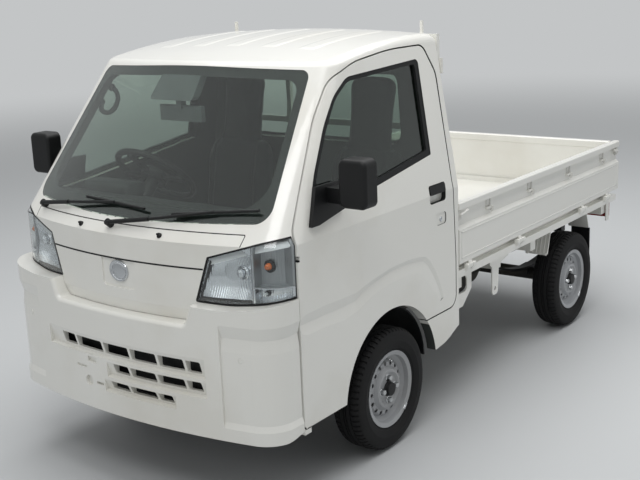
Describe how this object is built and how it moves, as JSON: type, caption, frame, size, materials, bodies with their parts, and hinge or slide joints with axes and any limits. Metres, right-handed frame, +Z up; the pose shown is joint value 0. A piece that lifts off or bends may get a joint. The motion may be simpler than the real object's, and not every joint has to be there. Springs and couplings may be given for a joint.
{
  "type": "kei truck",
  "caption": "Small cab-over pickup truck with a two-seat cab, hinged doors, steered front wheels and a three-way drop-side cargo bed with a guard frame.",
  "frame": {"origin": "centre of the truck's footprint at ground level", "axes": "+Z up, -Y towards the front of the truck, +X towards its left side"},
  "size_m": [1.856, 3.395, 1.78],
  "materials": {
    "body_paint": "gloss white enamel",
    "frame_paint": "satin black",
    "wheel_paint": "silver enamel",
    "tyre_rubber": "matte",
    "black_plastic": "grained",
    "dash_plastic": "grained",
    "clear_lens": "clear polycarbonate",
    "window_glass": "tinted safety glass",
    "lamp_silver": "vacuum metallised",
    "red_lens": "moulded acrylic",
    "seat_fabric": "woven",
    "cast_steel": "as cast",
    "floor_mat": "ribbed"
  },
  "bodies": {
    "chassis": {"roof_panel": "body_paint", "back_panel": "body_paint", "cowl_panel": "body_paint", "front_garnish": "body_paint", "cab_frame": "body_paint", "front_bumper": "body_paint", "bed_headboard": "body_paint", "bed_brackets": "body_paint", "rear_wheel_arches": "body_paint", "bed_floor": "body_paint", "guard_frame": "body_paint", "windshield": "window_glass", "rear_window": "window_glass", "headlamp_lenses": "clear_lens", "headlamp_bodies": "lamp_silver", "grille_backing": "black_plastic", "arch_liners": "black_plastic", "mudflaps": "black_plastic", "steering_column": "black_plastic", "dashboard": "dash_plastic", "cab_floor": "floor_mat", "seat_left": "seat_fabric", "seat_right": "seat_fabric", "engine_block": "cast_steel", "rear_axle": "cast_steel", "front_suspension": "frame_paint", "front_struts": "frame_paint", "leaf_springs": "frame_paint", "chassis_frame": "frame_paint", "drive_shaft": "frame_paint", "fuel_tank": "frame_paint", "tail_lamps": "red_lens", "headlamp_gaskets": "black_plastic", "wipers": "black_plastic", "cabin_mirror": "black_plastic", "exhaust": "cast_steel"},
    "door_left": {"door_left": "body_paint", "door_glass_left": "window_glass", "mirror_left": "black_plastic", "handle_left": "black_plastic"},
    "door_right": {"door_right": "body_paint", "door_glass_right": "window_glass", "mirror_right": "black_plastic", "handle_right": "black_plastic"},
    "gate_left": {"gate_left": "body_paint"},
    "gate_right": {"gate_right": "body_paint"},
    "tailgate": {"tailgate": "body_paint"},
    "steering_wheel": {"steering_wheel": "black_plastic"},
    "knuckle_left": {"knuckle_left": "cast_steel"},
    "knuckle_right": {"knuckle_right": "cast_steel"},
    "wheel_front_left": {"rim_front_left": "wheel_paint", "tyre_front_left": "tyre_rubber"},
    "wheel_front_right": {"rim_front_right": "wheel_paint", "tyre_front_right": "tyre_rubber"},
    "wheel_rear_left": {"rim_rear_left": "wheel_paint", "tyre_rear_left": "tyre_rubber"},
    "wheel_rear_right": {"rim_rear_right": "wheel_paint", "tyre_rear_right": "tyre_rubber"}
  },
  "joints": [
    {"name": "steering_wheel", "type": "hinge", "parent": "chassis", "child": "steering_wheel", "pos_m": [-0.35, -1.0655, 1.159], "axis": [0, 0.6691, 0.7431], "range_deg": [-540, 540]},
    {"name": "kingpin_left", "type": "hinge", "parent": "chassis", "child": "knuckle_left", "pos_m": [0.59, -0.8175, 0.185], "axis": [-0.1474, 0, 0.9891], "range_deg": [-35, 35]},
    {"name": "wheel_front_left", "type": "hinge", "parent": "knuckle_left", "child": "wheel_front_left", "pos_m": [0.6525, -0.8175, 0.267], "axis": [1, 0, 0], "continuous": true},
    {"name": "wheel_rear_left", "type": "hinge", "parent": "chassis", "child": "wheel_rear_left", "pos_m": [0.65, 1.0825, 0.267], "axis": [1, 0, 0], "continuous": true},
    {"name": "door_left", "type": "hinge", "parent": "chassis", "child": "door_left", "pos_m": [0.729, -1.4335, 0.325], "axis": [0, 0, 1], "range_deg": [-65, 0]},
    {"name": "gate_left", "type": "hinge", "parent": "chassis", "child": "gate_left", "pos_m": [0.7315, 0.7225, 0.658], "axis": [0, 1, 0], "range_deg": [0, 172]},
    {"name": "kingpin_right", "type": "hinge", "parent": "chassis", "child": "knuckle_right", "pos_m": [-0.59, -0.8175, 0.185], "axis": [0.1474, 0, 0.9891], "range_deg": [-35, 35]},
    {"name": "wheel_front_right", "type": "hinge", "parent": "knuckle_right", "child": "wheel_front_right", "pos_m": [-0.6525, -0.8175, 0.267], "axis": [1, 0, 0], "continuous": true},
    {"name": "wheel_rear_right", "type": "hinge", "parent": "chassis", "child": "wheel_rear_right", "pos_m": [-0.65, 1.0825, 0.267], "axis": [1, 0, 0], "continuous": true},
    {"name": "door_right", "type": "hinge", "parent": "chassis", "child": "door_right", "pos_m": [-0.729, -1.4335, 0.325], "axis": [0, 0, 1], "range_deg": [0, 65]},
    {"name": "gate_right", "type": "hinge", "parent": "chassis", "child": "gate_right", "pos_m": [-0.7315, 0.7225, 0.658], "axis": [0, 1, 0], "range_deg": [-172, 0]},
    {"name": "tailgate", "type": "hinge", "parent": "chassis", "child": "tailgate", "pos_m": [0, 1.6795, 0.658], "axis": [1, 0, 0], "range_deg": [-172, 0]}
  ],
  "couplings": [
    {"joint": "kingpin_left", "follows": "steering_wheel", "ratio": 0.0648},
    {"joint": "kingpin_right", "follows": "steering_wheel", "ratio": 0.0648}
  ]
}
